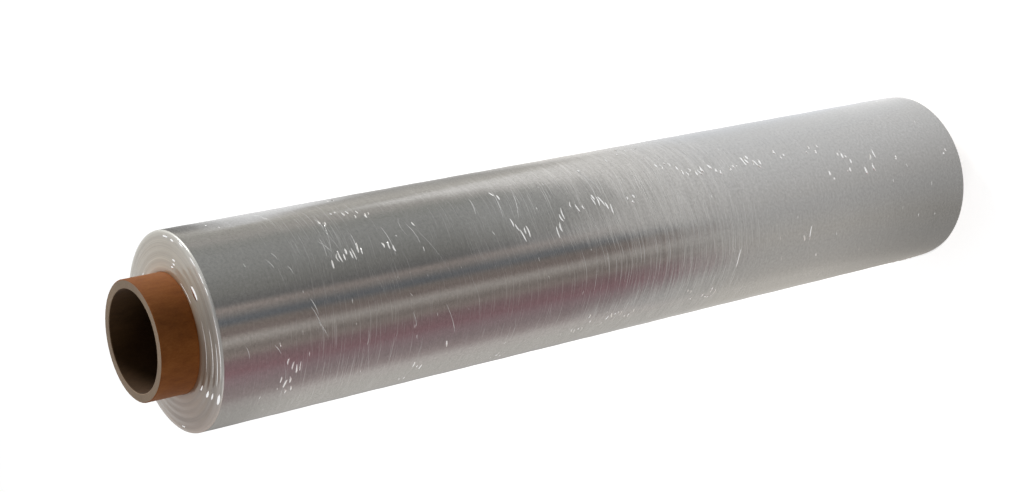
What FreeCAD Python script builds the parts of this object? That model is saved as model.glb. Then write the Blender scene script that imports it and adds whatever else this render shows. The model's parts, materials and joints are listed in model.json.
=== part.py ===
import FreeCAD, Part
import math
import os

import Sketcher

# A roll of clear stretch wrap, standing on the end of its core. The core is a spirally wound
# cardboard tube that stands out of the film at both ends. The film is one long sheet wound
# tightly on it, so all its turns are one solid. +Z is the roll's axis and points up. The
# origin is the centre of the core's lower end. Sizes are in millimetres.

# Driving dimensions: name, value, meaning
SIZES = [
    ("core_bore_dia", 50.8, "bore of the core, the two inch standard"),
    ("core_wall", 4.6, "thickness of the wound cardboard"),
    ("core_length", 540.0, "core from end to end"),
    ("core_edge_break", 0.4, "broken corner of the core's cut edges"),
    ("ply_seam_pitch", 126.0, "rise of the outer paper strip's seam in one turn"),
    ("ply_seam_width", 1.0, "width of the seam at the surface"),
    ("ply_seam_depth", 0.4, "depth of the seam"),
    ("foot_standout", 17.5, "core below the film's outermost turns"),
    ("film_width", 500.0, "width of the film, edge to edge"),
    ("film_dia", 100.0, "outside of the wound film"),
    ("telescope", 2.2, "rise of the innermost turns over the outermost"),
    ("crest_height", 0.7, "how far the middle of a band of turns stands proud"),
    ("rim_drop", 1.0, "extra fall of the outermost turns at the film's rounded rim"),
    ("lap_step", 0.3, "step at the free end of the film"),
]

# The winder swings from side to side, so the turns lie in bands that crest on the upper end.
BAND_COUNT = 5

# Outline of one band on that end, as shares of the band's width and of the crest's height
BAND_OUTLINE = [(0.0, 0.0), (0.2, 0.7), (0.5, 1.0), (0.8, 0.7)]

# The seam's cut starts and ends this many seam widths past the core, to run out cleanly.
SEAM_OVERRUN = 5

values = {name: value for name, value, meaning in SIZES}


def cell(name):
    """Expression that reads one driving dimension."""
    return "Sizes." + name


def make_sheet(doc):
    """The spreadsheet that holds the driving dimensions."""
    sheet = doc.addObject("Spreadsheet::Sheet", "Sizes")
    for row, (name, value, meaning) in enumerate(SIZES, start=1):
        sheet.set(f"A{row}", name)
        sheet.set(f"B{row}", str(value))
        sheet.set(f"C{row}", meaning)
        sheet.setAlias(f"B{row}", name)
    doc.recompute()
    return sheet


def new_body(doc, label):
    """An empty body whose label names its file."""
    body = doc.addObject("PartDesign::Body", label)
    body.Label = label
    return body


def new_sketch(body, name, role):
    """A sketch on one of the body's own origin planes."""
    plane = next(f for f in body.Origin.OriginFeatures if f.Role == role)
    sketch = body.newObject("Sketcher::SketchObject", name)
    sketch.AttachmentSupport = (plane, [""])
    sketch.MapMode = "FlatFace"
    return sketch


def bind(sketch, constraint, name, formula):
    """Adds a named dimension to a sketch and ties it to the sheet."""
    sketch.addConstraint(constraint)
    sketch.renameConstraint(sketch.ConstraintCount - 1, name)
    sketch.setExpression(f"Constraints.{name}", formula)


def bind_point(sketch, geometry, end, at, name, across, up):
    """Ties one point of a sketch to a place given by two formulas."""
    bind(sketch, Sketcher.Constraint("DistanceX", -1, 1, geometry, end, at[0]), name + "_across", across)
    bind(sketch, Sketcher.Constraint("DistanceY", -1, 1, geometry, end, at[1]), name + "_up", up)


def core_radius():
    """Outer radius of the core, as a number and as a formula."""
    number = values["core_bore_dia"] / 2 + values["core_wall"]
    return number, f"({cell('core_bore_dia')} / 2 + {cell('core_wall')})"


def core_tube(body):
    """The plain tube with the corners of its cut edges broken."""
    sketch = new_sketch(body, "tube_section", "XY_Plane")
    outer, outer_formula = core_radius()
    inner = values["core_bore_dia"] / 2
    for name, radius, formula in (
        ("outside", outer, outer_formula),
        ("bore", inner, cell("core_bore_dia") + " / 2"),
    ):
        circle = Part.Circle(FreeCAD.Vector(), FreeCAD.Vector(0, 0, 1), radius)
        index = sketch.addGeometry(circle, False)
        sketch.addConstraint(Sketcher.Constraint("Coincident", index, 3, -1, 1))
        bind(sketch, Sketcher.Constraint("Radius", index, radius), name, formula)
    pad = body.newObject("PartDesign::Pad", "tube")
    pad.Profile = sketch
    pad.setExpression("Length", cell("core_length"))
    body.Document.recompute()

    rims = [
        f"Edge{number}"
        for number, edge in enumerate(pad.Shape.Edges, start=1)
        if isinstance(edge.Curve, Part.Circle)
    ]
    corners = body.newObject("PartDesign::Chamfer", "cut_edges")
    corners.Base = (pad, rims)
    corners.setExpression("Size", cell("core_edge_break"))
    body.Document.recompute()
    return corners


def core_seam(body):
    """The butt seam of the outer paper strip, which climbs round the tube as a shallow V."""
    sketch = new_sketch(body, "seam_section", "XZ_Plane")
    outer, outer_formula = core_radius()
    width, depth = values["ply_seam_width"], values["ply_seam_depth"]
    start = -SEAM_OVERRUN * width
    start_formula = f"-{SEAM_OVERRUN} * {cell('ply_seam_width')}"
    corners = [
        (outer - depth, start, outer_formula + " - " + cell("ply_seam_depth"), start_formula),
        (outer + depth, start - width, outer_formula + " + " + cell("ply_seam_depth"),
         start_formula + " - " + cell("ply_seam_width")),
        (outer + depth, start + width, outer_formula + " + " + cell("ply_seam_depth"),
         start_formula + " + " + cell("ply_seam_width")),
    ]
    for here, there in zip(corners, corners[1:] + corners[:1]):
        line = Part.LineSegment(FreeCAD.Vector(*here[:2], 0), FreeCAD.Vector(*there[:2], 0))
        sketch.addGeometry(line, False)
    for index, corner in enumerate(corners):
        sketch.addConstraint(Sketcher.Constraint("Coincident", index, 2, (index + 1) % 3, 1))
        bind_point(sketch, index, 1, corner[:2], f"corner_{index}", corner[2], corner[3])
    seam = body.newObject("PartDesign::SubtractiveHelix", "ply_seam")
    seam.Profile = sketch
    seam.ReferenceAxis = (sketch, ["V_Axis"])
    seam.Mode = "pitch-height-angle"
    seam.setExpression("Pitch", cell("ply_seam_pitch"))
    overrun = f"2 * {SEAM_OVERRUN} * {cell('ply_seam_width')}"
    seam.setExpression("Height", f"{cell('core_length')} + {overrun}")
    return seam


def make_core(doc):
    """The cardboard core, with the bore that a spindle or a pair of hand grips goes into."""
    body = new_body(doc, "cardboard_core")
    core_tube(body)
    core_seam(body)
    doc.recompute()
    return body


def end_point(share, crest, drop, drop_formula):
    """One point on the film's upper end: radius and height, each as a number and as a formula.
    The share runs from 0 on the core to 1 just past the last turn. The crest is a share of the
    crest's height. The drop lowers the point."""
    inner, inner_formula = core_radius()
    reach = values["film_dia"] / 2 + values["lap_step"] - inner
    reach_formula = f"({cell('film_dia')} / 2 + {cell('lap_step')} - {inner_formula})"
    radius = inner + share * reach
    radius_formula = f"{inner_formula} + {share:.3f} * {reach_formula}"
    level = values["foot_standout"] + values["film_width"]
    level_formula = f"{cell('foot_standout')} + {cell('film_width')}"
    height = level + (1 - share) * values["telescope"] + crest * values["crest_height"] - drop
    height_formula = (
        f"{level_formula} + {1 - share:.3f} * {cell('telescope')}"
        f" + {crest} * {cell('crest_height')} - {drop_formula}"
    )
    return radius, height, radius_formula, height_formula


def end_outline(drop, drop_formula):
    """The film's upper end from the core to the rim, lowered by the drop. The last point falls
    further than its band, which rounds the rim."""
    points = [
        end_point((band + across) / BAND_COUNT, up, drop, drop_formula)
        for band in range(BAND_COUNT)
        for across, up in BAND_OUTLINE
    ]
    rim_drop, rim_drop_formula = drop + values["rim_drop"], f"{drop_formula} - {cell('rim_drop')}"
    points.append(end_point(1.0, 0.0, rim_drop, rim_drop_formula))
    return points


def film_section(body):
    """Half section through the wound film. Every turn is as wide as the film, so the lower end
    repeats the upper one a film's width below it."""
    sketch = new_sketch(body, "turns_section", "XZ_Plane")
    top = end_outline(0.0, "0")
    foot = end_outline(values["film_width"], cell("film_width"))
    points = top + foot[::-1]
    for here, there in zip(points, points[1:] + points[:1]):
        line = Part.LineSegment(FreeCAD.Vector(*here[:2], 0), FreeCAD.Vector(*there[:2], 0))
        sketch.addGeometry(line, False)
    for index, point in enumerate(points):
        following = (index + 1) % len(points)
        sketch.addConstraint(Sketcher.Constraint("Coincident", index, 2, following, 1))
        bind_point(sketch, index, 1, point[:2], f"turn_{index}", point[2], point[3])
    turns = body.newObject("PartDesign::Revolution", "wound_turns")
    turns.Profile = sketch
    turns.ReferenceAxis = (sketch, ["V_Axis"])
    turns.Angle = 360
    body.Document.recompute()
    return turns


def film_outer_lap(body):
    """Trims the outside to the last lap. The lap winds outwards by its step in one turn, as four
    quarter arcs whose centres walk round a small square, and it ends in the film's free edge.
    The edge faces +Y."""
    sketch = new_sketch(body, "last_lap", "XY_Plane")
    step, outside = values["lap_step"], values["film_dia"] / 2
    walk, start = step / 4, outside - step
    walk_formula = f"{cell('lap_step')} / 4"
    centres = [(0, 0), (1, 0), (1, 1), (0, 1)]
    for index, (across, up) in enumerate(centres):
        centre = FreeCAD.Vector(across * walk, up * walk, 0)
        circle = Part.Circle(centre, FreeCAD.Vector(0, 0, 1), start + index * walk)
        angles = [math.radians(90 * (index + quarter)) for quarter in (1, 2)]
        arc = sketch.addGeometry(Part.ArcOfCircle(circle, *angles), False)
        bind_point(sketch, arc, 3, centre[:2], f"centre_{index}",
                   f"{across} * {walk_formula}", f"{up} * {walk_formula}")
        bind(sketch, Sketcher.Constraint("Radius", arc, start + index * walk), f"lap_{index}",
             f"{cell('film_dia')} / 2 - {cell('lap_step')} + {index} * {walk_formula}")
        upright_start = index % 2 == 0
        for end, upright in ((1, upright_start), (2, not upright_start)):
            kind = "Vertical" if upright else "Horizontal"
            sketch.addConstraint(Sketcher.Constraint(kind, arc, end, arc, 3))
    free_edge = Part.LineSegment(FreeCAD.Vector(0, start, 0), FreeCAD.Vector(0, outside, 0))
    edge = sketch.addGeometry(free_edge, False)
    sketch.addConstraint(Sketcher.Constraint("Coincident", edge, 1, 0, 1))
    sketch.addConstraint(Sketcher.Constraint("Coincident", edge, 2, 3, 2))
    clear = outside + 2 * step
    around = sketch.addGeometry(Part.Circle(FreeCAD.Vector(), FreeCAD.Vector(0, 0, 1), clear), False)
    sketch.addConstraint(Sketcher.Constraint("Coincident", around, 3, -1, 1))
    bind(sketch, Sketcher.Constraint("Radius", around, clear), "around",
         f"{cell('film_dia')} / 2 + 2 * {cell('lap_step')}")
    trim = body.newObject("PartDesign::Pocket", "last_lap_trim")
    trim.Profile = sketch
    trim.Type = "ThroughAll"
    trim.Reversed = True
    return trim


def make_film(doc):
    """The film's turns, wound tightly on the core and on each other, as one solid."""
    body = new_body(doc, "film_roll")
    turns = film_section(body)
    before = turns.Shape.Volume
    trim = film_outer_lap(body)
    doc.recompute()
    if not trim.Shape.Volume < before:
        raise RuntimeError("the last lap wasn't trimmed")
    return body


def check(doc, parts):
    """Stops if any object failed to build or a sub-part isn't one valid solid."""
    for item in doc.Objects:
        if "Invalid" in item.State or "Error" in item.State:
            raise RuntimeError(f"{item.Label} failed: {item.State}")
    for part in parts:
        shape = part.Shape
        if shape.isNull() or not shape.isValid() or len(shape.Solids) != 1:
            raise RuntimeError(f"{part.Label} isn't one valid solid")


def main():
    doc = FreeCAD.newDocument("stretch_wrap_roll")
    make_sheet(doc)
    parts = [make_core(doc), make_film(doc)]
    doc.recompute()
    check(doc, parts)
    os.makedirs("parts", exist_ok=True)
    for part in parts:
        part.Shape.exportStep(f"parts/{part.Label}.step")
        print(f"{part.Label}: {part.Shape.Volume:.0f} mm3 in {len(part.Shape.Faces)} faces")


main()
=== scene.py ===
import json
import math
import random

import bpy
import numpy as np
from mathutils import Matrix, Vector


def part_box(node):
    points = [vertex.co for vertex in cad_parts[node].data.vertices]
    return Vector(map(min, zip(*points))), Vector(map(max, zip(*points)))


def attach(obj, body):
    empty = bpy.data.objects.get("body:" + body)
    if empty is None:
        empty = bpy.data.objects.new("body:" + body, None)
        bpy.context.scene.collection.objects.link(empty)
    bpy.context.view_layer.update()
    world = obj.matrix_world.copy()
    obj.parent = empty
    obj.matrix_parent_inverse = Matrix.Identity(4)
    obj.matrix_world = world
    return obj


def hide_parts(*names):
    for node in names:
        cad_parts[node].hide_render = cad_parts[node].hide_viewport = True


# A roll of clear stretch wrap that stands on its core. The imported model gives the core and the
# film's outside. This script dresses them: the film gets a finely wound surface with rings on
# its ends and trapped air under its last turns, and the core gets its paper. Metres throughout.

MM = 0.001

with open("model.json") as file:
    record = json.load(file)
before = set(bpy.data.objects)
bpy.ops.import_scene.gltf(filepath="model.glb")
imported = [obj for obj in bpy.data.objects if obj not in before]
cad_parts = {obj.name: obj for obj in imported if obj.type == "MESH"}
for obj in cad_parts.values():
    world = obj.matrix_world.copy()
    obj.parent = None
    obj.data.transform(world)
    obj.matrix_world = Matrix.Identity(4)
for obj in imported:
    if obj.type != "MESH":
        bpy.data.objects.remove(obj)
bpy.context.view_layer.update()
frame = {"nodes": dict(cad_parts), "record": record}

# The core and the film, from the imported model
_, core_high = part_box("cardboard_core")
_, film_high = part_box("film_roll")
core_bore = next(mount for mount in frame["record"]["mounts"] if mount["name"] == "core_bore")
CORE_RADIUS = core_high.x
CORE_TOP = core_high.z
BORE_RADIUS = core_bore["dims"]["r_mm"] * MM
FILM_RADIUS = film_high.y
FILM_WIDTH = 500 * MM
LAP_STEP = 0.3 * MM
FREE_EDGE = math.radians(90)

# The wound ends: each is a stack of turns that a winder laid swinging from side to side, in bands
# with fine rings over them. The turns on the core lie a little under the solid's highest crest
BANDS = 5
TELESCOPE = 2.2 * MM
UNDER_CREST = 0.3 * MM
RIM_HEIGHT = film_high.z - TELESCOPE - UNDER_CREST
LOWER_RIM_HEIGHT = RIM_HEIGHT - FILM_WIDTH
RIM_ROUND = 0.9 * MM
CREST = 0.17 * MM
FINE_RINGS = 23
FINE_RING_RISE = 0.05 * MM
# How proud the bands are on average, how much less on their smooth side, and how much that wavers
PROUD = 0.8
SMOOTHER = 0.35
SMOOTH_SIDE = math.radians(30)
PROUD_WAVER = 0.15
# How far bands and fine rings wander round the end, as shares of a band and of a ring
BAND_WANDER = 0.05
BAND_SECOND_WANDER = 0.03
RING_WANDER = 0.12
# How far the wavering and the rings' wander turn from the core to the rim, in radians
PROUD_TWIST = 7
RING_TWIST = 9
# The upper end swells on one side, less at the core than at the rim
SWELL = 1.8 * MM
SWELL_AT = math.radians(-85)
SWELL_AT_CORE = 0.3

# Slight hoops and dents of the barrel: depth, and radians of swing in each metre of height
BROAD_HOOP, BROAD_HOOP_RATE = 0.045 * MM, 190
NARROW_HOOP, NARROW_HOOP_RATE = 0.03 * MM, 515
DENT, DENT_RATE, DENT_TWIST = 0.035 * MM, 41, 9
# They die away within this distance of the rims
RIPPLE_FADE = 12 * MM

# The mesh of the film: steps around, along the barrel, across each end, and over the rim's round
AROUND = 256
ALONG = 130
ACROSS = 88
OVER_RIM = 9

SEED = 11
ring_draws = random.Random(SEED)
RING_RISES = [FINE_RING_RISE * ring_draws.uniform(0.1, 1.0) for _ in range(FINE_RINGS)]


# The film's form

def smooth(share):
    """Eases a share from 0 to 1."""
    share = min(max(share, 0.0), 1.0)
    return share * share * (3 - 2 * share)


def lap_radius(azimuth):
    """Outer radius of the last lap, which climbs by its step in one turn from the free edge."""
    turned = ((azimuth - FREE_EDGE) % (2 * math.pi)) / (2 * math.pi)
    return FILM_RADIUS - LAP_STEP * (1 - turned)


def barrel_ripple(azimuth, height):
    """Slight hoops and dents of the barrel, as a change of radius."""
    broad = BROAD_HOOP * math.sin(height * BROAD_HOOP_RATE + 0.6 * math.sin(azimuth))
    narrow = NARROW_HOOP * math.sin(height * NARROW_HOOP_RATE + azimuth)
    slack = DENT * math.sin(3 * azimuth + height * DENT_TWIST) * math.sin(height * DENT_RATE)
    return broad + narrow + slack


def barrel_radius(azimuth, height):
    """Radius of the barrel's surface."""
    return lap_radius(azimuth) + barrel_ripple(azimuth, height)


def end_rise(share, azimuth):
    """How far a turn stands over the rim's plane, share 0 being the turn on the core."""
    wander = BAND_WANDER * math.sin(azimuth + 1.0) + BAND_SECOND_WANDER * math.sin(2 * azimuth)
    swing = share * BANDS + wander
    waver = PROUD_WAVER * math.sin(azimuth + PROUD_TWIST * share)
    proud = PROUD - SMOOTHER * math.cos(azimuth - SMOOTH_SIDE) + waver
    crest = CREST * math.sin(math.pi * swing) ** 2 * proud
    ring = share * FINE_RINGS + RING_WANDER * math.sin(azimuth * 2 + RING_TWIST * share)
    rise = RING_RISES[int(ring) % FINE_RINGS] * math.sin(math.pi * ring) ** 2
    return TELESCOPE * (1 - share) + crest + rise


def swell(share, azimuth):
    """How much further the upper end stands out on its swollen side."""
    facing = max(math.cos(azimuth - SWELL_AT), 0.0)
    return SWELL * facing ** 2 * (SWELL_AT_CORE + (1 - SWELL_AT_CORE) * share)


def end_radius(share, outer):
    """Radius of a place on an end, and how far the end has turned over into the barrel there."""
    radius = CORE_RADIUS + share * (outer - CORE_RADIUS)
    inset = max(radius - (outer - RIM_ROUND), 0.0)
    return radius, RIM_ROUND - math.sqrt(max(RIM_ROUND ** 2 - inset ** 2, 0.0))


def upper_end(share, azimuth, outer):
    """Radius and height of a place on the upper end."""
    radius, fall = end_radius(share, outer)
    return radius, RIM_HEIGHT + end_rise(share, azimuth) - fall + swell(share, azimuth)


def lower_end(share, azimuth, outer):
    """Radius and height of a place on the lower end, which is hollow where the upper one rises."""
    radius, fall = end_radius(share, outer)
    return radius, LOWER_RIM_HEIGHT + end_rise(share, azimuth) + fall


def barrel_side(height, azimuth, outer):
    """Radius and height of a place on the barrel."""
    fade = smooth(min(RIM_HEIGHT - height, height - LOWER_RIM_HEIGHT) / RIPPLE_FADE)
    return outer + barrel_ripple(azimuth, height) * fade, height


def end_shares():
    """Places across an end, closer together where the rim turns over."""
    rim_share = 1 - RIM_ROUND / (FILM_RADIUS - CORE_RADIUS)
    flat = np.linspace(0.0, rim_share, ACROSS - OVER_RIM)
    turned = rim_share + (1 - rim_share) * np.sin(np.linspace(0, math.pi / 2, OVER_RIM + 1)[1:])
    return list(flat) + list(turned)


def film_column(step, shares, heights):
    """One section of the film from the core over the upper end, the barrel and the lower end back
    to the core. The last step lies over the first, outside the free edge."""
    azimuth = FREE_EDGE + 2 * math.pi * step / AROUND
    outer = FILM_RADIUS if step == AROUND else lap_radius(azimuth)
    places = [upper_end(share, azimuth, outer) for share in shares]
    places += [barrel_side(height, azimuth, outer) for height in heights]
    places += [lower_end(share, azimuth, outer) for share in reversed(shares)]
    return [(radius * math.cos(azimuth), radius * math.sin(azimuth), z) for radius, z in places]


def film_faces(per_column):
    """Faces between neighbouring columns, and the free edge: a narrow step that joins the last
    column to the first."""
    faces = []
    for column in range(AROUND):
        here, there = column * per_column, (column + 1) * per_column
        for step in range(per_column):
            after = (step + 1) % per_column
            faces.append((here + step, here + after, there + after, there + step))
    here, there = AROUND * per_column, 0
    for step in range(1, per_column - 1):
        faces.append((here + step, here + step + 1, there + step + 1, there + step))
    return faces


def map_film(mesh, per_column):
    """A UV map in metres: around from the free edge, and along the roll."""
    layer = mesh.uv_layers.new(name="lap")
    circumference = 2 * math.pi * FILM_RADIUS
    for loop in mesh.loops:
        column = loop.vertex_index // per_column
        height = mesh.vertices[loop.vertex_index].co.z
        layer.data[loop.index].uv = (column / AROUND * circumference, height)


def film_mesh():
    """The film's skin: the upper end, the barrel, the lower end and the bore on the core. The ends
    have the second of its two materials."""
    shares = end_shares()
    heights = np.linspace(RIM_HEIGHT - RIM_ROUND, LOWER_RIM_HEIGHT + RIM_ROUND, ALONG)[1:-1]
    columns = [film_column(step, shares, heights) for step in range(AROUND + 1)]
    per_column = len(columns[0])
    vertices = [vertex for column in columns for vertex in column]
    mesh = bpy.data.meshes.new("film_turns")
    mesh.from_pydata(vertices, [], film_faces(per_column))
    map_film(mesh, per_column)
    for index, face in enumerate(mesh.polygons):
        column, step = divmod(index, per_column)
        on_end = step < len(shares) - 1 or step >= per_column - len(shares)
        face.material_index = 1 if on_end and column < AROUND else 0
        face.use_smooth = True
    return mesh


def add_piece(name, mesh, slot, *materials):
    """A visible piece that rides on the roll."""
    piece = bpy.data.objects.new(name, mesh)
    bpy.context.scene.collection.objects.link(piece)
    for material in materials:
        mesh.materials.append(material)
    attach(piece, "root")
    return piece


# Air and lines under the last turns

# Section of a pocket from its lower edge to its upper one: place across and share of its rise. The
# steep upper flank faces the ceiling and the long lower one the floor, so both look pale.
POCKET_PROFILE = [(-1.0, 0.0), (-0.3, 0.42), (0.3, 0.78), (0.7, 1.0), (1.0, 0.0)]
# Section of a fleck on the end, from side to side
FLECK_PROFILE = [(-1.0, 0.0), (-0.5, 0.75), (0.0, 1.0), (0.5, 0.75), (1.0, 0.0)]
# Their rises as shares of their widths
POCKET_RISE = 0.28
FLECK_RISE = 0.2
# How deep their edges lie in the film, their width at the tips, and the length of one step along
SUNK = 0.02 * MM
TIP_WIDTH = 0.05
STATION_LENGTH = 1.4 * MM
FEWEST_STATIONS = 9


def stations(length):
    """Places along a pocket, from -1 to 1, and how full it is at each."""
    count = max(FEWEST_STATIONS, int(length / STATION_LENGTH))
    places = [2 * station / (count - 1) - 1 for station in range(count)]
    return [(at, math.sqrt(max(1 - at * at, 0.0))) for at in places]


def crease(azimuth, height, length, width, slant, bow):
    """A slender pocket of air under the last turn: a ridge that follows the barrel. Its length
    runs around the roll, turned by the slant, and bows along it. Returns its points in rows."""
    rows = []
    for at, taper in stations(length):
        around = 0.5 * at * length * math.cos(slant)
        along = 0.5 * at * length * math.sin(slant) + bow * at * at
        row = []
        for rib, crown in POCKET_PROFILE:
            side = rib * 0.5 * width * max(taper, TIP_WIDTH)
            lift = POCKET_RISE * width * crown * taper - SUNK
            theta = azimuth + (around - side * math.sin(slant)) / FILM_RADIUS
            z = height + along + side * math.cos(slant)
            radius = barrel_radius(theta, z) + lift
            row.append((radius * math.cos(theta), radius * math.sin(theta), z))
        rows.append(row)
    return rows


def end_fleck(azimuth, radius, length, width):
    """A bright fleck on the upper end, drawn out along its turn. Returns its points in rows."""
    rows = []
    for at, taper in stations(length):
        theta = azimuth + 0.5 * at * length / radius
        outer = lap_radius(theta)
        row = []
        for rib, crown in FLECK_PROFILE:
            reach = radius + rib * 0.5 * width * max(taper, TIP_WIDTH)
            share = min((reach - CORE_RADIUS) / (outer - CORE_RADIUS), 1.0)
            place, height = upper_end(share, theta, outer)
            lift = FLECK_RISE * width * crown * taper - SUNK
            row.append((place * math.cos(theta), place * math.sin(theta), height + lift))
        rows.append(row)
    return rows


def ridges_mesh(name, ridges):
    """One mesh of many ridges, each given as its rows of points, with as many points in each row.
    The upper flank of each ridge is flat, so that it glints, and the rest is smooth."""
    ribs = len(ridges[0][0])
    vertices, faces = [], []
    for rows in ridges:
        base = len(vertices)
        vertices += [point for row in rows for point in row]
        for row in range(len(rows) - 1):
            for rib in range(ribs - 1):
                corner = base + row * ribs + rib
                faces.append((corner, corner + 1, corner + ribs + 1, corner + ribs))
    mesh = bpy.data.meshes.new(name)
    mesh.from_pydata(vertices, [], faces)
    for index, face in enumerate(mesh.polygons):
        face.use_smooth = index % (ribs - 1) < ribs - 2
    return mesh


# Air caught under the last turns, in rows of short strokes side by side along the roll. Each row:
# azimuth in degrees and height in millimetres of its middle, number of strokes, their pitch along
# the roll and their length in millimetres, and the degrees that the row climbs from one to the next
AIR_ROWS = [
    (-68, 442, 9, 2.1, 6.5, -0.6), (-68, 418, 3, 2.3, 5.5, 0.6), (-56, 399, 1, 0.0, 3.5, 0.0),
    (-44, 445, 2, 2.4, 5.0, 1.0), (-37, 429, 6, 2.7, 2.8, 0.5), (-40, 419, 2, 2.4, 3.5, 1.0),
    (-16, 426, 2, 3.0, 3.0, 1.0), (-44, 344, 2, 2.2, 4.5, 1.0), (-74, 340, 5, 2.0, 7.0, 0.5),
    (-73, 315, 4, 2.4, 7.5, -1.2), (-67, 301, 3, 3.6, 5.0, -0.6), (-67, 285, 6, 1.9, 6.0, 0.8),
    (-68, 265, 3, 2.3, 2.2, 0.5), (-38, 284, 1, 0.0, 3.5, 0.0), (-27, 263, 2, 3.0, 4.5, 1.0),
    (-23, 242, 5, 4.2, 2.4, 0.3), (-134, 391, 1, 0.0, 5.0, 0.0), (-146, 405, 3, 2.6, 4.0, 1.5),
    (-159, 410, 2, 3.0, 4.0, 1.0), (-160, 351, 3, 3.0, 4.0, 1.0), (-150, 303, 4, 2.4, 3.5, 1.5),
    (-144, 297, 2, 2.0, 3.0, 0.5), (-144, 281, 6, 2.4, 3.8, -0.6), (-147, 269, 3, 2.2, 3.2, 0.8),
    (-135, 484, 3, 2.4, 5.0, 1.5), (-124, 480, 4, 2.4, 5.0, 1.2), (-140, 481, 2, 3.0, 4.0, 0.5),
    (-51, 230, 5, 2.8, 3.2, 0.8), (-58, 216, 6, 2.7, 4.2, 0.8), (-61, 201, 3, 2.4, 4.6, 0.5),
    (-60, 174, 6, 2.2, 6.5, 0.8), (-60, 188, 3, 2.4, 2.6, 0.4), (-59, 152, 3, 2.6, 3.0, 0.8),
    (-60, 127, 4, 3.2, 2.6, -0.4), (-67, 107, 4, 2.4, 3.8, 1.2), (-78, 108, 2, 2.2, 2.6, 0.8),
    (-82, 122, 2, 2.0, 3.0, 0.8), (-70, 86, 2, 3.2, 8.0, 0.6), (-79, 92, 2, 6.2, 6.0, 0.3),
    (-75, 69, 1, 0.0, 4.5, 0.0), (-79, 29, 2, 2.2, 2.0, 0.5), (-113, 146, 2, 4.0, 8.0, 0.6),
    (-132, 136, 1, 0.0, 3.0, 0.0), (-119, 198, 1, 0.0, 13.0, 0.0), (-142, 210, 2, 3.0, 8.0, 0.8),
    (-148, 213, 4, 2.4, 3.0, 0.8), (-142, 228, 3, 2.6, 3.0, 0.8), (-112, 488, 1, 0.0, 2.5, 0.0),
]
# How the strokes of a row differ: factors of their pitch and length, width in millimetres, spread
# of azimuth in degrees, mean and spread of slant in radians, and spread of bow in millimetres
STROKE_PITCH = (0.85, 1.15)
STROKE_LENGTH = (0.5, 1.2)
STROKE_WIDTH = (0.65, 1.1)
STROKE_SCATTER = 2.2
STROKE_SLANT = (0.02, 0.16)
STROKE_BOW = 0.4
# Strokes low on the roll are broader by this share, which grows downwards from a height in
# millimetres over a stretch in millimetres
BROADER = 0.4
BROADER_BELOW = 290
BROADER_OVER = 80

# More rows on the sides that face away from the ones above: how many, their azimuth in degrees,
# number of strokes, pitch and length in millimetres, and spread of climb in degrees
FAR_ROWS = 34
FAR_AZIMUTH = (8, 184)
FAR_STROKES = (2, 7)
FAR_PITCH = (2.2, 3.2)
FAR_LENGTH = (2.5, 7.0)
FAR_CLIMB = 0.8

# Heights between which the far rows and the loose pockets lie, and the strewn lines
AIR_SPAN = (LOWER_RIM_HEIGHT + 12 * MM, RIM_HEIGHT - 14 * MM)
LINE_SPAN = (LOWER_RIM_HEIGHT + 20 * MM, RIM_HEIGHT - 20 * MM)
# Ridges strewn over the whole barrel: their number, the ranges of length and width in millimetres,
# the mean and spread of slant in radians, and the spread of bow in millimetres
LOOSE_POCKETS = (170, (0.8, 3.0), (0.22, 0.4), (0.0, 0.2), 0.2)
STREWN_LINES = (130, (10, 40), (0.1, 0.2), (0.03, 0.14), 1.5)

# Long faint lines drawn across the last turn: azimuth in degrees, height of the middle and length
# in millimetres, and slant in degrees
LONG_LINES = [
    (-74, 394, 43, 22), (-117, 390, 19, 20), (-101, 466, 17, 20), (-52, 360, 13, -12),
    (-53, 345, 22, -11), (-48, 283, 21, 13), (-61, 435, 12, -7), (-60, 451, 10, 30),
    (-64, 416, 19, 2), (-62, 401, 14, 12), (-55, 447, 27, -16), (-56, 335, 21, -19),
    (-112, 412, 9, 14), (-117, 439, 9, -5), (-76, 150, 38, 24), (-114, 148, 13, 36),
    (-115, 202, 15, 24), (-57, 241, 20, -10), (-50, 285, 21, -2), (-93, 467, 10, 18),
    (-106, 464, 11, 29), (-60, 452, 13, -5), (-112, 489, 7, 32), (-110, 505, 7, 15),
    (-43, 446, 9, 1), (-64, 483, 7, 24), (-60, 479, 5, 20), (-70, 474, 6, 16),
    (20, 410, 30, 18), (55, 300, 36, -14), (92, 180, 28, 20), (130, 360, 34, 12),
    (160, 240, 26, -16),
]
LINE_WIDTH = 0.45 * MM
LINE_BOW = 0.6 * MM
# Length in millimetres beyond which a line is the finer the longer it is
FINER_FROM = 18

# Bright flecks on the upper end: azimuth in degrees, and radius, length and width in millimetres
END_FLECKS = [
    (-16, 47.4, 6.0, 0.9), (-25, 47.0, 3.4, 1.2), (-36, 48.7, 4.6, 1.0), (-52, 48.4, 7.0, 1.0),
    (-64, 48.6, 7.0, 1.0), (-72, 48.9, 5.0, 0.8), (-30, 38.2, 3.0, 1.1), (-29, 34.4, 2.6, 1.2),
    (-31, 36.4, 2.6, 0.9), (-66, 37.8, 8.4, 2.9), (-58, 31.5, 14.0, 0.8), (-145, 34.8, 4.2, 1.3),
    (-143, 40.0, 5.0, 1.7), (-140, 43.6, 4.6, 1.3), (-137, 48.4, 7.0, 1.9), (60, 44.0, 4.0, 0.8),
    (95, 47.6, 3.0, 0.7), (128, 38.0, 3.0, 0.9), (165, 47.0, 3.5, 0.7), (30, 36.0, 2.0, 0.8),
    (-104, 48.5, 34.0, 0.6), (-116, 45.4, 24.0, 0.5), (-110, 41.6, 26.0, 0.5),
    (-106, 36.2, 28.0, 0.5),
]


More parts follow.
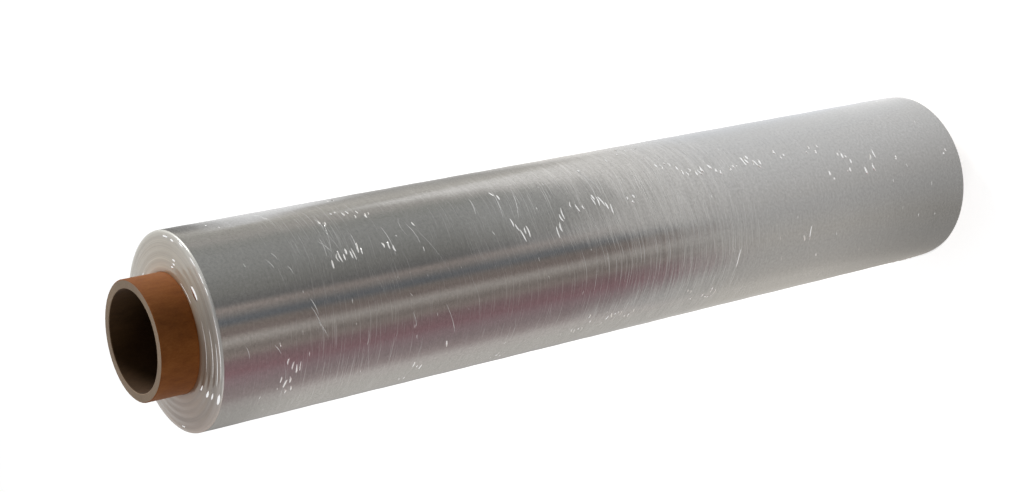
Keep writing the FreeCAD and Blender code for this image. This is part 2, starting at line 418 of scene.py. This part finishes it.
def air_row(draws, azimuth, height, count, pitch, length, climb):
    """Ridges of one row of strokes."""
    ridges = []
    broad = 1 + BROADER * smooth((BROADER_BELOW - height) / BROADER_OVER)
    for stroke in range(count):
        along = (stroke - 0.5 * (count - 1)) * pitch * draws.uniform(*STROKE_PITCH)
        turned = climb * along / max(pitch, 1.0)
        ridges.append(crease(
            math.radians(azimuth + turned + draws.gauss(0, STROKE_SCATTER)),
            (height + along) * MM,
            length * draws.uniform(*STROKE_LENGTH) * MM,
            draws.uniform(*STROKE_WIDTH) * broad * MM,
            draws.gauss(*STROKE_SLANT),
            draws.gauss(0, STROKE_BOW) * MM,
        ))
    return ridges


def far_row(draws):
    """Ridges of one row of strokes somewhere on the far sides."""
    return air_row(
        draws,
        draws.uniform(*FAR_AZIMUTH),
        draws.uniform(*AIR_SPAN) / MM,
        draws.randint(*FAR_STROKES),
        draws.uniform(*FAR_PITCH),
        draws.uniform(*FAR_LENGTH),
        draws.gauss(0, FAR_CLIMB),
    )


def strewn(draws, span, count, lengths, widths, slant, bow):
    """Ridges strewn all round the barrel, at heights in the span."""
    return [
        crease(
            draws.uniform(-math.pi, math.pi),
            draws.uniform(*span),
            draws.uniform(*lengths) * MM,
            draws.uniform(*widths) * MM,
            draws.gauss(*slant),
            draws.gauss(0, bow) * MM,
        )
        for _ in range(count)
    ]


def air_pockets():
    """Ridges of the trapped air: rows of strokes, loose ones all round, and flecks on the end."""
    draws = random.Random(SEED + 1)
    ridges = []
    for row in AIR_ROWS:
        ridges += air_row(draws, *row)
    for _ in range(FAR_ROWS):
        ridges += far_row(draws)
    ridges += strewn(draws, AIR_SPAN, *LOOSE_POCKETS)
    for azimuth, radius, length, width in END_FLECKS:
        ridges.append(end_fleck(math.radians(azimuth), radius * MM, length * MM, width * MM))
    return ridges


def long_line(azimuth, height, length, slant):
    """A long faint line where the film was drawn over itself."""
    width = LINE_WIDTH * min(1.0, FINER_FROM / length)
    turn, slope = math.radians(azimuth), math.radians(slant)
    return crease(turn, height * MM, length * MM, width, slope, LINE_BOW)


def drawn_lines():
    """The long lines that stand out, and finer ones all round."""
    draws = random.Random(SEED + 2)
    long_lines = [long_line(*line) for line in LONG_LINES]
    return long_lines + strewn(draws, LINE_SPAN, *STREWN_LINES)


# Materials

def new_material(name):
    """A material with an empty node tree, the tree, and its output."""
    material = bpy.data.materials.new(name)
    material.use_nodes = True
    tree = material.node_tree
    tree.nodes.clear()
    return material, tree, tree.nodes.new("ShaderNodeOutputMaterial")


class Shading:
    """A material with one Principled shader, and short ways to add nodes that feed it."""

    def __init__(self, name):
        self.material, self.tree, output = new_material(name)
        self.shader = self.tree.nodes.new("ShaderNodeBsdfPrincipled")
        self.join(self.shader.outputs["BSDF"], output.inputs["Surface"])

    def join(self, source, target):
        """Joins one socket to another."""
        self.tree.links.new(source, target)

    def set(self, **values):
        """Plain values for the shader's inputs, named with underscores."""
        for name, value in values.items():
            self.shader.inputs[name.replace("_", " ")].default_value = value

    def feed(self, name, source):
        """Joins a socket to one of the shader's inputs."""
        self.join(source, self.shader.inputs[name])

    def give(self, socket, value):
        """Sets a socket to a number, or joins another socket to it."""
        if isinstance(value, (int, float)):
            socket.default_value = value
        else:
            self.join(value, socket)

    def place(self):
        """The part's own coordinates, in metres."""
        return self.tree.nodes.new("ShaderNodeTexCoord").outputs["Object"]

    def lap_place(self):
        """Around from the free edge and along the roll, in metres."""
        return self.tree.nodes.new("ShaderNodeTexCoord").outputs["UV"]

    def scaled(self, vector, across, along, depth=1.0):
        """A vector with each of its parts multiplied."""
        node = self.tree.nodes.new("ShaderNodeMapping")
        node.inputs["Scale"].default_value = (across, along, depth)
        self.join(vector, node.inputs["Vector"])
        return node.outputs["Vector"]

    def parts(self, vector):
        """The X, Y and Z of a vector."""
        node = self.tree.nodes.new("ShaderNodeSeparateXYZ")
        self.join(vector, node.inputs["Vector"])
        return node.outputs

    def build(self, x, y, z=0.0):
        """A vector of numbers or sockets."""
        node = self.tree.nodes.new("ShaderNodeCombineXYZ")
        for socket, value in zip(node.inputs, (x, y, z)):
            self.give(socket, value)
        return node.outputs["Vector"]

    def work(self, operation, first, second=0.0, third=0.0):
        """One step of arithmetic."""
        node = self.tree.nodes.new("ShaderNodeMath")
        node.operation = operation
        for socket, value in zip(node.inputs, (first, second, third)):
            self.give(socket, value)
        return node.outputs["Value"]

    def axis_distance(self, place):
        """Distance from the roll's axis."""
        across, along = (self.work("MULTIPLY", place[name], place[name]) for name in ("X", "Y"))
        return self.work("SQRT", self.work("ADD", across, along))

    def mix(self, first, second, share):
        """The sum of two numbers, of which the first counts by its share and the second the rest."""
        rest = self.work("MULTIPLY", second, 1 - share)
        return self.work("ADD", self.work("MULTIPLY", first, share), rest)

    def noise(self, vector, detail=2.0, roughness=0.5):
        """Noise from 0 to 1."""
        node = self.tree.nodes.new("ShaderNodeTexNoise")
        self.join(vector, node.inputs["Vector"])
        node.inputs["Scale"].default_value = 1.0
        node.inputs["Detail"].default_value = detail
        node.inputs["Roughness"].default_value = roughness
        return node.outputs["Fac"]

    def ramp(self, factor, *stops):
        """Colours or greys at places from 0 to 1."""
        node = self.tree.nodes.new("ShaderNodeValToRGB")
        band = node.color_ramp
        while len(band.elements) < len(stops):
            band.elements.new(0.5)
        for element, (at, colour) in zip(band.elements, stops):
            element.position = at
            if isinstance(colour, (int, float)):
                colour = (colour, colour, colour)
            element.color = (*colour, 1.0)
        self.join(factor, node.inputs["Fac"])
        return node.outputs["Color"]

    def blend(self, factor, first, second, kind="MIX"):
        """Two colours blended, each given as a tuple or a socket."""
        node = self.tree.nodes.new("ShaderNodeMix")
        node.data_type = "RGBA"
        node.blend_type = kind
        self.give(node.inputs["Factor"], factor)
        inputs = [s for s in node.inputs if s.type == "RGBA"]
        for socket, colour in zip(inputs, (first, second)):
            if isinstance(colour, tuple):
                socket.default_value = (*colour, 1.0)
            else:
                self.join(colour, socket)
        return next(s for s in node.outputs if s.type == "RGBA")

    def bump(self, height, depth, strength, under=None):
        """A normal for a relief of this depth, over another normal if there is one."""
        node = self.tree.nodes.new("ShaderNodeBump")
        node.inputs["Strength"].default_value = strength
        node.inputs["Distance"].default_value = depth
        self.join(height, node.inputs["Height"])
        if under is not None:
            self.join(under, node.inputs["Normal"])
        return node.outputs["Normal"]


# The barrel's noises, each with its scale in a metre around and along: fine hoops, small mottles,
# fine grooves along the roll, broad clouds, and the wander of the hairlines
HOOP_SCALE = (45, 400)
MOTTLE_SCALE = (640, 700)
GROOVE_SCALE = (160, 5)
CLOUD_SCALE = (9, 12)
WANDER_SCALE = (16, 5)
# Depths and strengths of the barrel's reliefs
HOOP_RELIEF = (0.22 * MM, 0.55)
MOTTLE_RELIEF = (0.03 * MM, 0.15)
GROOVE_RELIEF = (0.04 * MM, 0.25)
# How metallic the barrel is, how that changes on a hairline, and how much rougher a hairline is
SILVER = 0.78
HAIR_SILVER = -0.45
HAIR_ROUGHER = 0.12
# How rough the clear film is, by the clouds
CLOUD_GLOSS = [(0.3, 0.1), (0.7, 0.18)]
# Where the noises of clouds and hairlines are high enough for hairlines to show
HAIR_PATCHES = [(0.36, 0.1), (0.62, 0.95)]
HAIR_EDGES = [(0.57, 0.0), (0.70, 1.0)]
# How strong the hairlines and the fine hoops are along the roll: height in metres and strength
HAIRS_AT = [
    (0.1, 0.1), (0.17, 0.3), (0.21, 1.0), (0.3, 1.0), (0.34, 0.45), (0.39, 0.35), (0.43, 0.7),
    (0.46, 0.6), (0.5, 0.3),
]
HOOPS_AT = [(0.1, 0.12), (0.17, 0.2), (0.21, 0.9), (0.27, 1.0), (0.34, 0.35), (0.5, 0.25)]
# The scale of the hairlines' noise in a metre along the roll and around it, how far they climb in
# a metre around, and how far they wander
HAIRS_ALONG = 1300.0
HAIRS_AROUND = 46.0
HAIR_CLIMB = 0.03
HAIR_WANDER = 14 * MM
FILM_TONES = [(0.32, (0.44, 0.44, 0.438)), (0.68, (0.64, 0.64, 0.638))]
HAIR_COLOUR = (0.86, 0.86, 0.85)

# The film's ends: colours from the core to the rim, with the core's brown painted next to the
# core, where it shows through the film, and a painted highlight at the pale rim
END_COLOURS_AND_PAINTED_LIGHT = [
    (0.0, (0.4, 0.26, 0.16)), (0.07, (0.58, 0.46, 0.35)), (0.2, (0.68, 0.61, 0.52)),
    (0.4, (0.7, 0.65, 0.575)), (0.76, (0.7, 0.655, 0.595)), (0.9, (0.92, 0.89, 0.84)),
    (1.0, (0.96, 0.95, 0.93)),
]
# Painted shade across the ends, from -X to +X: lighter towards +X, where the key lamp stands, and
# darker round the other sides
END_PAINTED_SHADE = [
    (0.0, (0.77, 0.63, 0.55)), (0.12, (0.8, 0.73, 0.68)), (0.25, (0.84, 0.81, 0.79)),
    (0.41, (0.77, 0.75, 0.73)), (0.52, (0.75, 0.74, 0.73)), (0.72, (1.02, 1.02, 0.99)),
    (1.0, (0.95, 0.95, 0.89)),
]
# The scale of the rings' noise in a metre of radius and in a metre across, the share of the first
# that the wider rings have, the greys that shade both, and the relief
RINGS_OUTWARDS = 1100.0
RINGS_ACROSS = 10.0
WIDER_RINGS = 0.25
RING_SHADES = [(0.36, 0.86), (0.6, 1.04)]
RING_RELIEF = (0.06 * MM, 0.4)

FILM_IOR = 1.5

# The grain of the trapped air and of the drawn lines: scale in a metre, and greys
AIR_GRAIN = 900
AIR_GREYS = [(0.3, 0.9), (0.7, 1.0)]
LINE_GRAIN = 300
LINE_GREYS = [(0.3, 0.6), (0.7, 0.85)]

# The core: kraft paper outside, plies on the cut ends, and in the bore dark board, darkened further
# as painted shade of the hollow
KRAFT_COLOURS = [
    (0.3, (0.17, 0.046, 0.006)), (0.5, (0.27, 0.084, 0.013)), (0.7, (0.36, 0.125, 0.026)),
]
PLY_COLOURS = [(0.0, (0.2, 0.13, 0.075)), (0.16, (0.33, 0.23, 0.145)), (0.9, (0.41, 0.29, 0.19))]
BORE_BOARD_AND_SHADE = [(0.3, (0.038, 0.018, 0.006)), (0.7, (0.1, 0.05, 0.018))]
PLY_THICKNESS = 0.58 * MM
PLY_FRAY = 0.2 * MM
# The board's noises, each with its scale in a metre across and along: the wear of the plies with
# its greys, fibres drawn out along the core with their relief, specks, and blotches
WEAR_SCALE = (50, 50, 50)
WEAR_GREYS = [(0.3, 0.84), (0.7, 1.2)]
FIBRE_SCALE = (420, 420, 160)
FIBRE_RELIEF = (0.12 * MM, 0.5)
SPECK_SCALE = (1800, 1800, 900)
BLOTCH_SCALE = (60, 60, 35)
# The paper outside reaches this far in on the cut ends, and the bore's dark board and painted shade
# this far out
PAPER_EDGE = 0.5 * MM
BOARD_EDGE = 0.15 * MM


def film_hairs(s, lap, at, cloud):
    """Where the barrel has hairlines drawn round it, from 0 to 1, in patches of the cloud."""
    wander = s.work("MULTIPLY", s.noise(s.scaled(lap, *WANDER_SCALE), detail=1.0), HAIR_WANDER)
    along = s.work("ADD", s.work("MULTIPLY_ADD", at["X"], HAIR_CLIMB, at["Y"]), wander)
    around = s.work("MULTIPLY", at["X"], HAIRS_AROUND)
    hairs = s.noise(s.build(around, s.work("MULTIPLY", along, HAIRS_ALONG)), detail=1.0)
    patchy = s.work("MULTIPLY", s.ramp(at["Y"], *HAIRS_AT), s.ramp(cloud, *HAIR_PATCHES))
    return s.work("MULTIPLY", s.ramp(hairs, *HAIR_EDGES), patchy)


def film_hoops(s, lap, at):
    """Fine hoops of the barrel, from 0 to 1 about a level of 0.5."""
    hoops = s.noise(s.scaled(lap, *HOOP_SCALE), detail=2.0, roughness=0.6)
    return s.work("MULTIPLY_ADD", s.work("SUBTRACT", hoops, 0.5), s.ramp(at["Y"], *HOOPS_AT), 0.5)


def film_side_material():
    """Clear film seen many turns deep: silvery, with fine hoops and hairlines drawn round it."""
    s = Shading("film_side")
    lap = s.lap_place()
    at = s.parts(lap)
    cloud = s.noise(s.scaled(lap, *CLOUD_SCALE), detail=3.0)
    mottle = s.noise(s.scaled(lap, *MOTTLE_SCALE), detail=3.0)
    grooves = s.noise(s.scaled(lap, *GROOVE_SCALE), detail=1.0)
    hair = film_hairs(s, lap, at, cloud)
    hoops = film_hoops(s, lap, at)
    film = s.ramp(s.mix(hoops, mottle, 0.5), *FILM_TONES)
    s.feed("Base Color", s.blend(hair, film, HAIR_COLOUR))
    s.feed("Metallic", s.work("MULTIPLY_ADD", hair, HAIR_SILVER, SILVER))
    s.feed("Roughness", s.work("MULTIPLY_ADD", hair, HAIR_ROUGHER, s.ramp(cloud, *CLOUD_GLOSS)))
    s.set(IOR=FILM_IOR, Coat_Weight=0.3, Coat_Roughness=0.05)
    hooped = s.bump(hoops, *HOOP_RELIEF)
    mottled = s.bump(mottle, *MOTTLE_RELIEF, hooped)
    s.feed("Normal", s.bump(grooves, *GROOVE_RELIEF, mottled))
    return s.material


def film_end_material():
    """Edges of the turns: milky and ringed, with the core's brown painted next to the core, where
    it shows through, a painted highlight at the pale rim, and painted shade: lighter towards +X,
    where the key lamp stands, and darker round the other sides."""
    s = Shading("film_ends")
    place = s.parts(s.place())
    radius = s.axis_distance(place)
    share = s.work("DIVIDE", s.work("SUBTRACT", radius, CORE_RADIUS), FILM_RADIUS - CORE_RADIUS)
    across = [s.work("MULTIPLY", place[name], RINGS_ACROSS) for name in ("X", "Y")]
    ringed = s.build(s.work("MULTIPLY", radius, RINGS_OUTWARDS), *across)
    rings = s.noise(ringed, detail=2.0, roughness=0.7)
    wide = s.noise(s.scaled(ringed, WIDER_RINGS, 1.0), detail=2.0)
    # Painted shade: the ends are lighter towards +X, where the key lamp stands
    toward_key_lamp = s.work("MULTIPLY_ADD", s.work("DIVIDE", place["X"], radius), 0.5, 0.5)
    shade = s.ramp(s.mix(rings, wide, 0.5), *RING_SHADES)
    # Next to the core the core's brown is painted where it shows through, and at the rim a highlight
    shaded = s.blend(1.0, s.ramp(share, *END_COLOURS_AND_PAINTED_LIGHT), shade, "MULTIPLY")
    s.feed("Base Color", s.blend(1.0, shaded, s.ramp(toward_key_lamp, *END_PAINTED_SHADE), "MULTIPLY"))
    s.set(Metallic=0.05, Roughness=0.3, IOR=FILM_IOR, Coat_Weight=0.3, Coat_Roughness=0.1)
    s.feed("Normal", s.bump(rings, *RING_RELIEF))
    return s.material


def grained_material(name, grain, greys, metallic, roughness):
    """Grey with a fine grain."""
    s = Shading(name)
    s.feed("Base Color", s.ramp(s.noise(s.scaled(s.place(), grain, grain, grain)), *greys))
    s.set(Metallic=metallic, Roughness=roughness, IOR=FILM_IOR)
    return s.material


def air_material():
    """Air under the last turn, which shows as bright flecks."""
    return grained_material("trapped_air", AIR_GRAIN, AIR_GREYS, metallic=0.9, roughness=0.05)


def line_material():
    """Faint lines drawn in the film."""
    return grained_material("drawn_line", LINE_GRAIN, LINE_GREYS, metallic=0.6, roughness=0.2)


def cut_plies(s, here, radius, fibres):
    """Colour of the core's cut ends: pale plies with darker glue lines, frayed in places."""
    fray = s.work("ADD", radius, s.work("MULTIPLY", fibres, PLY_FRAY))
    plies = s.work("FRACT", s.work("MULTIPLY", fray, 1 / PLY_THICKNESS))
    wear = s.ramp(s.noise(s.scaled(here, *WEAR_SCALE), detail=3.0), *WEAR_GREYS)
    return s.blend(1.0, s.ramp(plies, *PLY_COLOURS), wear, "MULTIPLY")


def cardboard_material():
    """Brown kraft outside, pale plies on the cut ends, and in the bore dark board with painted shade.
    """
    s = Shading("kraft_board")
    here = s.place()
    radius = s.axis_distance(s.parts(here))
    fibres = s.noise(s.scaled(here, *FIBRE_SCALE), detail=5.0, roughness=0.65)
    specks = s.noise(s.scaled(here, *SPECK_SCALE), detail=2.0)
    blotches = s.noise(s.scaled(here, *BLOTCH_SCALE), detail=3.0)
    rest = s.work("ADD", s.work("MULTIPLY", specks, 0.25), s.work("MULTIPLY", blotches, 0.35))
    tone = s.work("ADD", s.work("MULTIPLY", fibres, 0.4), rest)
    inside = s.work("LESS_THAN", radius, BORE_RADIUS + BOARD_EDGE)
    outside = s.work("GREATER_THAN", radius, CORE_RADIUS - PAPER_EDGE)
    colour = s.blend(outside, cut_plies(s, here, radius, fibres), s.ramp(tone, *KRAFT_COLOURS))
    # The bore is dark board, darkened further as painted shade of the hollow
    s.feed("Base Color", s.blend(inside, colour, s.ramp(tone, *BORE_BOARD_AND_SHADE)))
    s.set(Roughness=0.52, IOR=1.45, Specular_IOR_Level=0.14, Sheen_Weight=0.12, Sheen_Roughness=0.5)
    s.feed("Normal", s.bump(fibres, *FIBRE_RELIEF))
    return s.material


# Stage

# The camera that was fitted to the photo: its place, where it looks, its roll, its lens and sensor
# in millimetres, and the least distance that it sees
CAMERA_AT = Vector((-0.0096, -0.9094, 0.9396))
CAMERA_AIM = Vector((0.0079, 0.0, 0.3171))
CAMERA_ROLL = math.radians(-101.775)
CAMERA_LENS = 72.82
SENSOR_WIDTH = 36.0
NEAREST_SEEN = 10 * MM

# The floor's size and grey, the glow that it adds where it is seen, and how far it lies under the
# roll's foot
FLOOR_SIZE = 14.0
FLOOR_GREY = 0.82
FLOOR_LIFT = 0.78
UNDER_FOOT = 0.1 * MM
# Strength of the even light in the room
ROOM_LIGHT = 0.15


def facing(at, aim):
    """The turn of a camera or lamp that looks from one place at another."""
    return (aim - at).to_track_quat("-Z", "Y").to_matrix().to_4x4()


def add_camera():
    """The camera, where the photo's stood, with its roll."""
    data = bpy.data.cameras.new("camera")
    data.lens = CAMERA_LENS
    data.sensor_width = SENSOR_WIDTH
    data.clip_start = NEAREST_SEEN
    camera = bpy.data.objects.new("camera", data)
    bpy.context.scene.collection.objects.link(camera)
    look = facing(CAMERA_AT, CAMERA_AIM)
    camera.matrix_world = Matrix.Translation(CAMERA_AT) @ look @ Matrix.Rotation(CAMERA_ROLL, 4, "Z")
    bpy.context.scene.camera = camera


def seen_ray(tree):
    """1 for the rays that show the background: camera, mirror and see-through ones."""
    path = tree.nodes.new("ShaderNodeLightPath")
    total = path.outputs["Is Camera Ray"]
    for name in ("Is Glossy Ray", "Is Transmission Ray"):
        node = tree.nodes.new("ShaderNodeMath")
        node.operation = "MAXIMUM"
        tree.links.new(total, node.inputs[0])
        tree.links.new(path.outputs[name], node.inputs[1])
        total = node.outputs["Value"]
    return total


def add_world():
    """Even room light, and white where it is seen."""
    world = bpy.data.worlds.new("room")
    bpy.context.scene.world = world
    world.use_nodes = True
    tree = world.node_tree
    background = tree.nodes["Background"]
    background.inputs["Color"].default_value = (1, 1, 1, 1)
    strength = tree.nodes.new("ShaderNodeMapRange")
    strength.inputs["To Min"].default_value = ROOM_LIGHT
    strength.inputs["To Max"].default_value = 1.0
    tree.links.new(seen_ray(tree), strength.inputs["Value"])
    tree.links.new(strength.outputs["Result"], background.inputs["Strength"])


def floor_material():
    """Matt and pale, lifted to white where it is seen."""
    material, tree, output = new_material("pale_floor")
    matt = tree.nodes.new("ShaderNodeBsdfDiffuse")
    matt.inputs["Color"].default_value = (FLOOR_GREY, FLOOR_GREY, FLOOR_GREY, 1)
    lift = tree.nodes.new("ShaderNodeEmission")
    strength = tree.nodes.new("ShaderNodeMath")
    strength.operation = "MULTIPLY"
    strength.inputs[1].default_value = FLOOR_LIFT
    tree.links.new(seen_ray(tree), strength.inputs[0])
    tree.links.new(strength.outputs["Value"], lift.inputs["Strength"])
    both = tree.nodes.new("ShaderNodeAddShader")
    tree.links.new(matt.outputs["BSDF"], both.inputs[0])
    tree.links.new(lift.outputs["Emission"], both.inputs[1])
    tree.links.new(both.outputs["Shader"], output.inputs["Surface"])
    return material


def add_floor():
    """A pale floor that shows the roll's shadow."""
    half = FLOOR_SIZE / 2
    corners = [(-half, -half), (half, -half), (half, half), (-half, half)]
    mesh = bpy.data.meshes.new("floor")
    mesh.from_pydata([(x, y, -UNDER_FOOT) for x, y in corners], [], [(0, 1, 2, 3)])
    mesh.materials.append(floor_material())
    floor = bpy.data.objects.new("floor", mesh)
    bpy.context.scene.collection.objects.link(floor)


def add_lamp(name, azimuth, elevation, distance, size, watts):
    """A soft lamp that faces the roll, placed by its direction in degrees."""
    a, e = math.radians(azimuth), math.radians(elevation)
    aim = Vector((0.0, 0.0, CORE_TOP / 2))
    at = aim + distance * Vector((math.cos(a) * math.cos(e), math.sin(a) * math.cos(e), math.sin(e)))
    data = bpy.data.lights.new(name, "AREA")
    data.shape = "DISK"
    data.size = size
    data.energy = watts
    lamp = bpy.data.objects.new(name, data)
    bpy.context.scene.collection.objects.link(lamp)
    lamp.matrix_world = Matrix.Translation(at) @ facing(at, aim)


# The card surround that the film mirrors, an upright wall and a ring of floor. The wall's upper
# part: azimuth in degrees and colour, blended from one to the next
WALL = [
    (-222, 0.60, 0.57, 0.53), (-205, 0.68, 0.65, 0.60), (-187, 0.72, 0.66, 0.62),
    (-175, 0.43, 0.34, 0.33), (-164, 0.33, 0.245, 0.245), (-153, 0.34, 0.22, 0.235),
    (-144, 0.30, 0.14, 0.16), (-132, 0.26, 0.15, 0.155), (-126, 0.33, 0.26, 0.23),
    (-120, 0.24, 0.195, 0.17), (-115, 0.41, 0.36, 0.32), (-111, 0.54, 0.49, 0.45),
    (-108, 0.45, 0.39, 0.35), (-104, 0.24, 0.18, 0.16), (-98, 0.26, 0.21, 0.18),
    (-93, 0.135, 0.15, 0.165), (-90, 0.15, 0.16, 0.175), (-86, 0.26, 0.24, 0.225),
    (-80, 0.43, 0.36, 0.325), (-75, 0.17, 0.165, 0.16), (-64, 0.26, 0.255, 0.235),
    (-42, 0.35, 0.35, 0.33), (-20, 0.37, 0.37, 0.35), (-9, 0.34, 0.34, 0.31),
    (3, 0.47, 0.44, 0.40), (14, 0.44, 0.42, 0.37), (26, 0.61, 0.58, 0.52),
    (37, 0.47, 0.45, 0.41), (50, 0.38, 0.37, 0.35), (62, 0.52, 0.51, 0.49),
    (80, 0.62, 0.61, 0.59), (110, 0.38, 0.37, 0.36), (127, 0.52, 0.50, 0.47),
    (138, 0.60, 0.57, 0.53),
]
# The surround's pale lower part: azimuth in degrees, the height in millimetres where it gives way
# to the wall's upper part, the tone of the wall's foot, the tone of the floor beside the roll and
# the warmth of that floor. Both tones are darker on the side away from the key lamp: a painted
# shadow of the roll.
FOOT = [
    (-222, 60, 0.62, 0.42, 1.0), (-208, 60, 0.66, 0.43, 1.0), (-196, 60, 0.70, 0.42, 1.0),
    (-187, 100, 0.64, 0.38, 1.0), (-176, 150, 0.60, 0.35, 0.9), (-153, 80, 0.59, 0.34, 0.7),
    (-130, 75, 0.61, 0.36, 0.85), (-108, 85, 0.62, 0.46, 0.4), (-97, 95, 0.65, 0.52, 0.3),
    (-86, 150, 0.70, 0.58, 0.35), (-75, 175, 0.76, 0.67, 0.3), (-64, 155, 0.82, 0.75, 0.2),
    (-42, 135, 0.90, 0.88, 0.1), (-20, 145, 0.93, 0.95, 0.1), (-9, 170, 0.94, 0.97, 0.0),
    (3, 210, 0.95, 1.00, 0.0), (14, 315, 0.93, 1.02, 0.0), (26, 150, 0.90, 0.98, -0.1),
    (37, 120, 0.88, 0.95, -0.3), (50, 150, 0.86, 0.93, -0.3), (80, 170, 0.82, 0.80, 0.0),
    (110, 120, 0.60, 0.50, 0.5), (138, 60, 0.62, 0.42, 1.0),
]
FOOT_FADE = 120 * MM
# The warmth of the wall's foot and of the floor, as factors of their tones
FOOT_WARMTH = (1.03, 1.0, 0.955)
FLOOR_WARMTH = (1.06, 1.0, 0.91)
# The floor's tone turns into that of the wall's foot within the floor's breadth divided by this
FLOOR_REACH = 1.3
# Factors of the wall's tone near its top: azimuth in degrees and factor
TOP_SHADE = [
    (-222, 0.72), (-187, 0.74), (-175, 0.92), (-164, 1.1), (-119, 1.12), (-75, 1.14), (-53, 1.05),
    (0, 1.0), (26, 0.9), (37, 0.5), (60, 0.5), (138, 0.72),
]
TOP_HEIGHT = 385 * MM
TOP_SOFT = 40 * MM
# A faint shelf between the wall's two parts: azimuth in degrees and how much paler it is
SHELF = [(-97, 0.0), (-86, 0.07), (-64, 0.13), (-42, 0.13), (-20, 0.06), (-9, 0.0)]
SHELF_HEIGHT = 212 * MM
SHELF_REACH = 48 * MM
# One lighter card high on the wall: its lower edge as azimuth in degrees and height in
# millimetres, the height of its upper edge, the softness of both, and its tone
HIGH_CARD_EDGE = [(20, 430), (24, 360), (37, 340), (46, 298), (90, 290), (100, 430)]
HIGH_CARD_TOP = 386 * MM
HIGH_CARD_SOFT = 50 * MM
HIGH_CARD_TONE = 0.86
# The surround's size, how far it stands off the floor, and the steps of its mesh
SURROUND_INNER = 58 * MM
SURROUND_OUTER = 235 * MM
SURROUND_HEIGHT = 520 * MM
SURROUND_LIFT = 0.2 * MM
SURROUND_COLUMNS = 300
FLOOR_STEPS = 8
WALL_STEPS = 40


def read_table(table, azimuth):
    """The values of a table at an azimuth in degrees, blended between its rows."""
    azimuths, *columns = zip(*table)
    return [np.interp(azimuth, azimuths, column) for column in columns]


def edge_at(height, edge, softness):
    """0 below an edge and 1 above it, eased over its softness."""
    return smooth((height - edge) / softness + 0.5)


def card_tones(azimuth, outline):
    """Colours of the card at an azimuth in degrees, for each place of its outline."""
    wall = read_table(WALL, azimuth)
    fade, foot, beside, warmth = read_table(FOOT, azimuth)
    [shade] = read_table(TOP_SHADE, azimuth)
    [shelf] = read_table(SHELF, azimuth)
    [card_edge] = read_table(HIGH_CARD_EDGE, azimuth)
    tones = []
    for out, height in outline:
        reached = (out - SURROUND_INNER) / (SURROUND_OUTER - SURROUND_INNER) * FLOOR_REACH
        # The floor beside the roll is darker away from the key lamp: a painted shadow of the roll
        floor = beside + (foot - beside) * smooth(reached)
        below = [floor * (1 + (factor - 1) * warmth) for factor in FLOOR_WARMTH]
        if height <= 0:
            tones.append(below + [1.0])
            continue
        climb = smooth(height / FOOT_FADE)
        pale = [low + (floor * factor - low) * climb for low, factor in zip(below, FOOT_WARMTH)]
        top = edge_at(height, TOP_HEIGHT, TOP_SOFT)
        upper = [tone * (1 + (shade - 1) * top) for tone in wall]
        share = edge_at(height, fade * MM, FOOT_FADE)
        card = edge_at(height, card_edge * MM, HIGH_CARD_SOFT)
        card *= 1 - edge_at(height, HIGH_CARD_TOP, HIGH_CARD_SOFT)
        ledge = shelf * smooth(1 - abs(height - SHELF_HEIGHT) / SHELF_REACH)
        plain = [low + (colour - low) * share + ledge for low, colour in zip(pale, upper)]
        tones.append([tone + (HIGH_CARD_TONE - tone) * card for tone in plain] + [1.0])
    return tones


def surround_mesh():
    """The card as columns of points, each from beside the roll out over the floor and up the wall,
    with its colours as an attribute of the points."""
    outline = [(out, 0.0) for out in np.linspace(SURROUND_INNER, SURROUND_OUTER, FLOOR_STEPS)]
    heights = np.linspace(0.0, SURROUND_HEIGHT, WALL_STEPS)[1:]
    outline += [(SURROUND_OUTER, height) for height in heights]
    first, last = WALL[0][0], WALL[-1][0]
    vertices, tones = [], []
    for column in range(SURROUND_COLUMNS + 1):
        azimuth = first + (last - first) * column / SURROUND_COLUMNS
        c, s = math.cos(math.radians(azimuth)), math.sin(math.radians(azimuth))
        vertices += [(out * c, out * s, height + SURROUND_LIFT) for out, height in outline]
        tones += card_tones(azimuth, outline)
    rows = len(outline)
    faces = []
    for column in range(SURROUND_COLUMNS):
        for row in range(rows - 1):
            here, there = column * rows + row, (column + 1) * rows + row
            faces.append((here, there, there + 1, here + 1))
    mesh = bpy.data.meshes.new("card_surround")
    mesh.from_pydata(vertices, [], faces)
    layer = mesh.color_attributes.new("tone", "FLOAT_COLOR", "POINT")
    layer.data.foreach_set("color", [value for tone in tones for value in tone])
    return mesh


def card_material():
    """Card that glows with its own tone."""
    material, tree, output = new_material("card")
    glow = tree.nodes.new("ShaderNodeEmission")
    tone = tree.nodes.new("ShaderNodeAttribute")
    tone.attribute_name = "tone"
    tree.links.new(tone.outputs["Color"], glow.inputs["Color"])
    tree.links.new(glow.outputs["Emission"], output.inputs["Surface"])
    return material


def add_surround():
    """The card: a ring of floor and an upright wall, which only the film's gloss picks up."""
    mesh = surround_mesh()
    mesh.materials.append(card_material())
    surround = bpy.data.objects.new("card_surround", mesh)
    bpy.context.scene.collection.objects.link(surround)
    for kind in ("camera", "diffuse", "transmission", "volume_scatter", "shadow"):
        setattr(surround, f"visible_{kind}", False)


# Making

film = add_piece("film_turns", film_mesh(), "stretch_film", film_side_material(), film_end_material())
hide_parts("film_roll")
add_piece("trapped_air", ridges_mesh("trapped_air", air_pockets()), "stretch_film", air_material())
add_piece("drawn_lines", ridges_mesh("drawn_lines", drawn_lines()), "stretch_film", line_material())

core = frame["nodes"]["cardboard_core"]
core.data.materials.clear()
core.data.materials.append(cardboard_material())

add_camera()
add_world()
add_floor()
add_surround()
add_lamp("key", azimuth=15, elevation=23, distance=1.6, size=0.7, watts=19.0)
add_lamp("fill", azimuth=192, elevation=26, distance=1.6, size=0.9, watts=6.0)

bpy.context.scene.view_settings.view_transform = "Standard"
